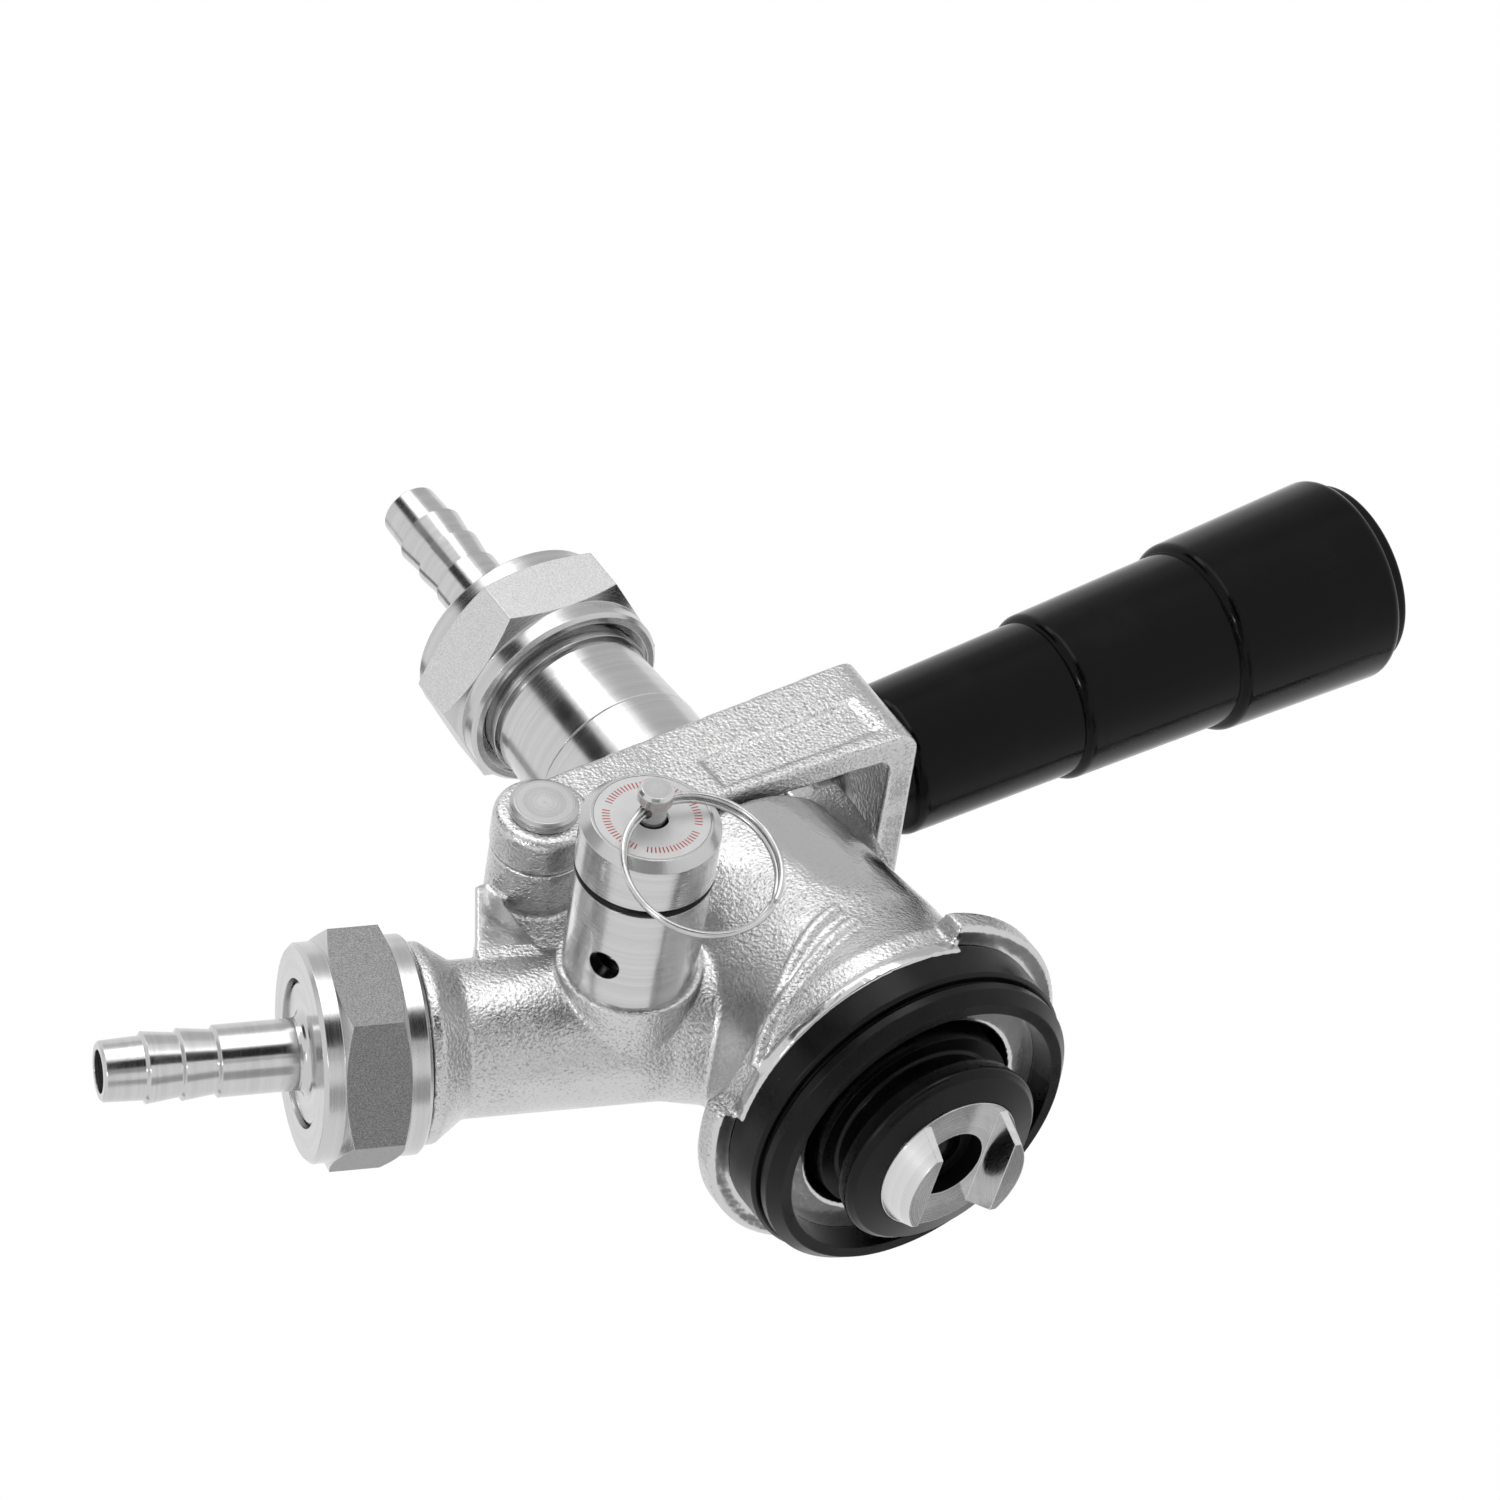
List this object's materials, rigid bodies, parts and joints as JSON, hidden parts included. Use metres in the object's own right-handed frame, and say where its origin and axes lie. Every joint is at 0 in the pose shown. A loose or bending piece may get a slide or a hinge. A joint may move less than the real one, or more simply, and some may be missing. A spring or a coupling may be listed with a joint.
{
  "type": "keg coupler",
  "caption": "Keg coupler: bayonet casting with a sliding probe, a yoke lever with a draw-out grip, a gas inlet, a beer outlet, union nuts with hose barbs and a pull-ring relief valve.",
  "frame": {"origin": "centre of the bottom seal's flat face, on the probe axis, where the coupler sits on the keg valve", "axes": "+Z along the probe from the keg to the beer outlet, -X towards the gas inlet, +X along the grip, -Y along the relief valve"},
  "size_m": [0.1994, 0.0664, 0.1369],
  "materials": {
    "cast_metal": "plated casting, coarse satin",
    "polished_chrome": "polished plating",
    "steel": "fine turned stainless steel",
    "spring_steel": "drawn wire",
    "black_rubber": "satin",
    "white_washer": "matte",
    "grip_plastic": "moulded, glossy",
    "dial_plate": "satin plate"
  },
  "bodies": {
    "casting": {"body": "cast_metal", "bottom_seal": "black_rubber", "guide_o_ring_lower": "black_rubber", "guide_o_ring_upper": "black_rubber", "pivot_pin": "polished_chrome", "pivot_clip": "spring_steel", "gas_check_valve": "black_rubber", "gas_washer": "white_washer", "gas_tail": "steel", "gas_nut": "polished_chrome", "relief_housing": "polished_chrome", "relief_o_ring": "black_rubber", "relief_cap": "polished_chrome", "relief_disc": "dial_plate"},
    "lever": {"lever_yoke": "polished_chrome", "handle_tube": "steel", "handle_spring": "spring_steel", "spring_seat": "spring_steel"},
    "draw_grip": {"lock_rod": "steel", "grip": "grip_plastic", "grip_end_cap": "grip_plastic"},
    "probe": {"probe_body": "steel", "probe_outlet": "steel", "drive_ring": "polished_chrome", "drive_pin_front": "steel", "drive_pin_rear": "steel", "probe_seal": "black_rubber", "probe_tip": "steel", "ball_stop": "steel", "beer_washer": "white_washer", "beer_tail": "steel", "beer_nut": "polished_chrome"},
    "ball": {"check_ball": "black_rubber"},
    "valve_stem": {"relief_stem": "steel", "relief_seal": "black_rubber", "relief_spring": "spring_steel"},
    "ring": {"pull_ring": "steel"}
  },
  "joints": [
    {"name": "lever_hinge", "type": "hinge", "parent": "casting", "child": "lever", "pos_m": [-0.0261, 0, 0.0535], "axis": [0, -1, 0], "range_deg": [0, 24]},
    {"name": "probe_slide", "type": "slide", "parent": "casting", "child": "probe", "axis": [0, 0, 1], "range_m": [0, 0.0115]},
    {"name": "grip_draw", "type": "slide", "parent": "lever", "child": "draw_grip", "axis": [0.9987, 0, 0.0509], "range_m": [-0.0024, 0]},
    {"name": "ball_lift", "type": "slide", "parent": "probe", "child": "ball", "axis": [0, 0, 1], "range_m": [0, 0.0024]},
    {"name": "relief_pull", "type": "slide", "parent": "casting", "child": "valve_stem", "axis": [0, -1, 0], "range_m": [0, 0.003], "stiffness_N_per_m": 1500, "springref_m": -0.004},
    {"name": "ring_swing", "type": "hinge", "parent": "valve_stem", "child": "ring", "pos_m": [-0.025, -0.0389, 0.03267], "axis": [-1, 0, 0], "range_deg": [0, 150]}
  ],
  "couplings": [
    {"joint": "probe_slide", "follows": "lever_hinge", "m_per_rad": 0.0272}
  ]
}
